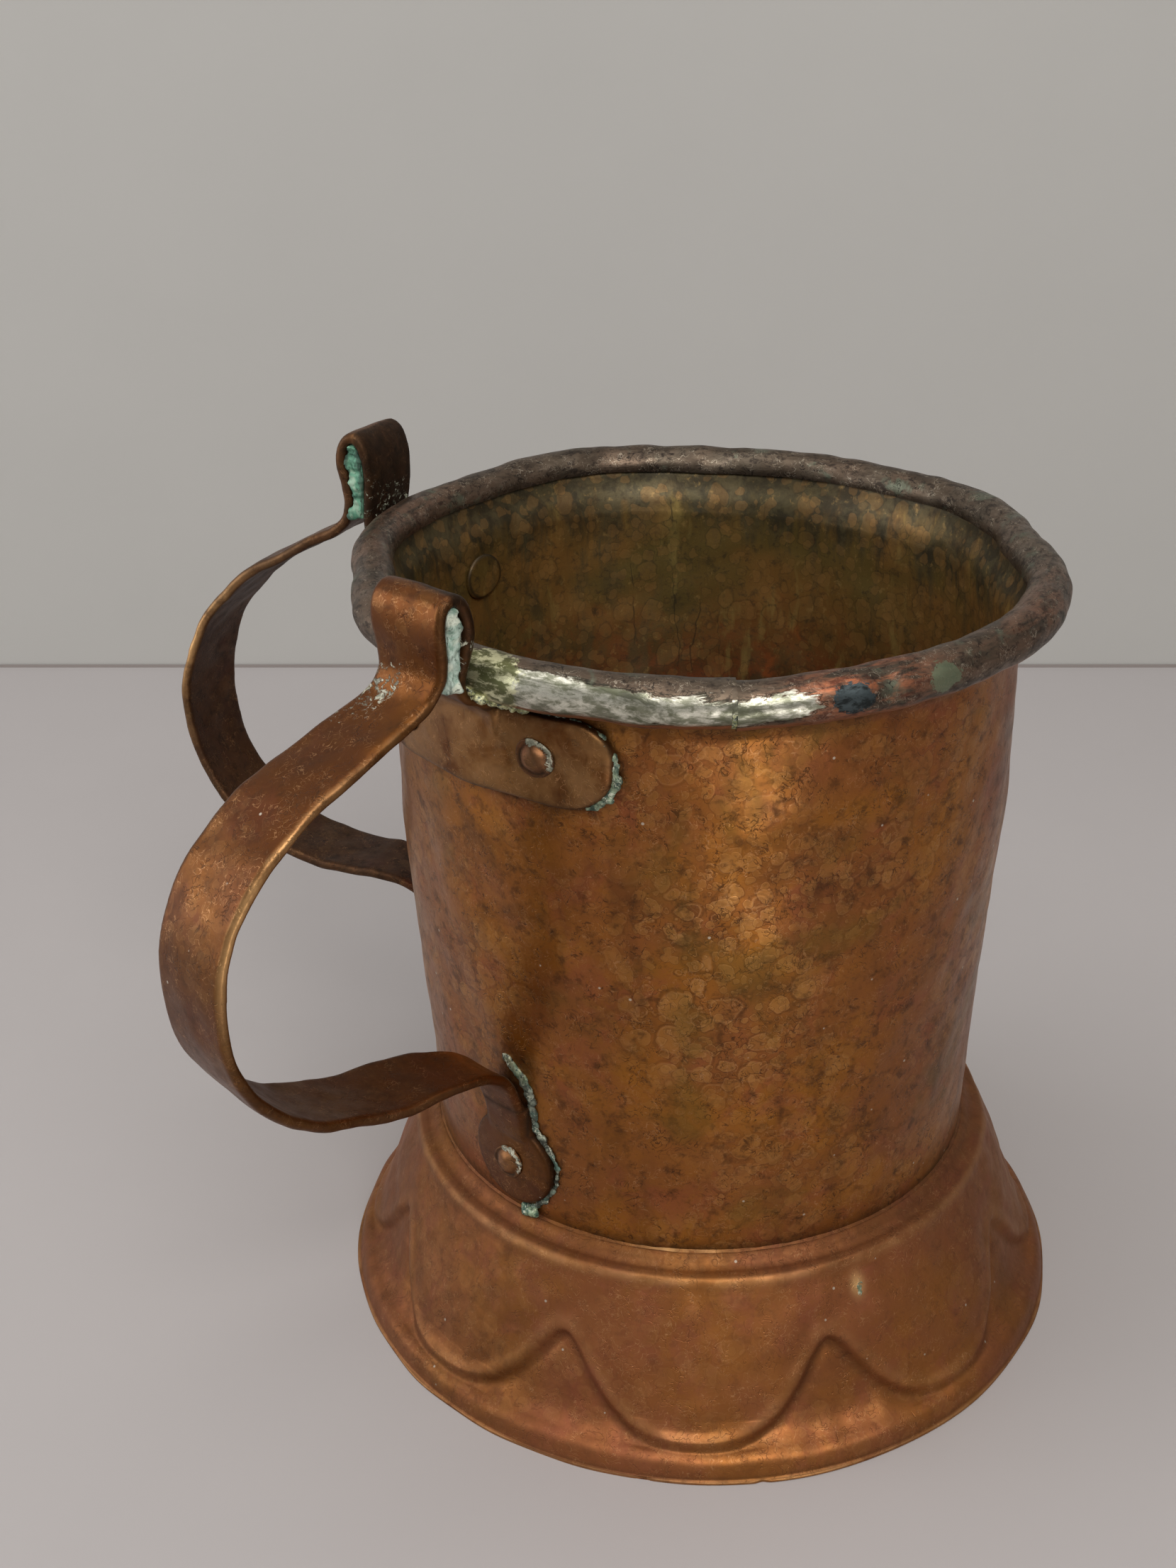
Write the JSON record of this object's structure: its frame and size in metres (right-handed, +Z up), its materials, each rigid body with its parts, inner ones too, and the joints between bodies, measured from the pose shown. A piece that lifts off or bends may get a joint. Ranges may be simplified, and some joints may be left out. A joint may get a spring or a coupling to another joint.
{
  "type": "two-handled copper washing cup",
  "caption": "Round copper cup with a rolled rim, a flared foot with raised lobes, and two riveted strap handles set side by side.",
  "frame": {"origin": "on the vessel's axis, in the plane of the foot's bottom lip", "axes": "+Z up out of the mouth; -X between the two handles, 32 degrees from the front one and 35.5 degrees from the rear one; +Y towards the rear handle's side by the right hand"},
  "size_m": [0.174, 0.1464, 0.168],
  "materials": {
    "copper_body": "aged copper with brown mottled patina, satin",
    "copper_foot": "aged hammered copper, darker in the recesses, satin",
    "copper_handle": "aged copper strap, rubbed bright at the edges",
    "tinned_rim": "copper with worn dark tinning",
    "rim_core": "plain wire, hidden",
    "rivet": "aged copper, hand set",
    "solder": "dull grey solder, partly green",
    "green_solder": "solder under pale green corrosion"
  },
  "bodies": {
    "root": {"body_wall": "copper_body", "body_floor": "copper_body", "floor_solder": "solder", "rim_band": "tinned_rim", "rim_wire": "rim_core", "rim_split_solder": "solder", "foot_skirt": "copper_foot", "foot_solder": "solder", "front_handle": "copper_handle", "rear_handle": "copper_handle", "front_left_rivet": "rivet", "front_right_rivet": "rivet", "front_lower_rivet": "rivet", "rear_left_rivet": "rivet", "rear_right_rivet": "rivet", "rear_lower_rivet": "rivet", "front_loop_solder": "green_solder", "rear_loop_solder": "green_solder", "front_plate_solder": "solder", "rear_plate_solder": "solder", "front_tail_solder": "solder", "rear_tail_solder": "solder"}
  },
  "joints": []
}
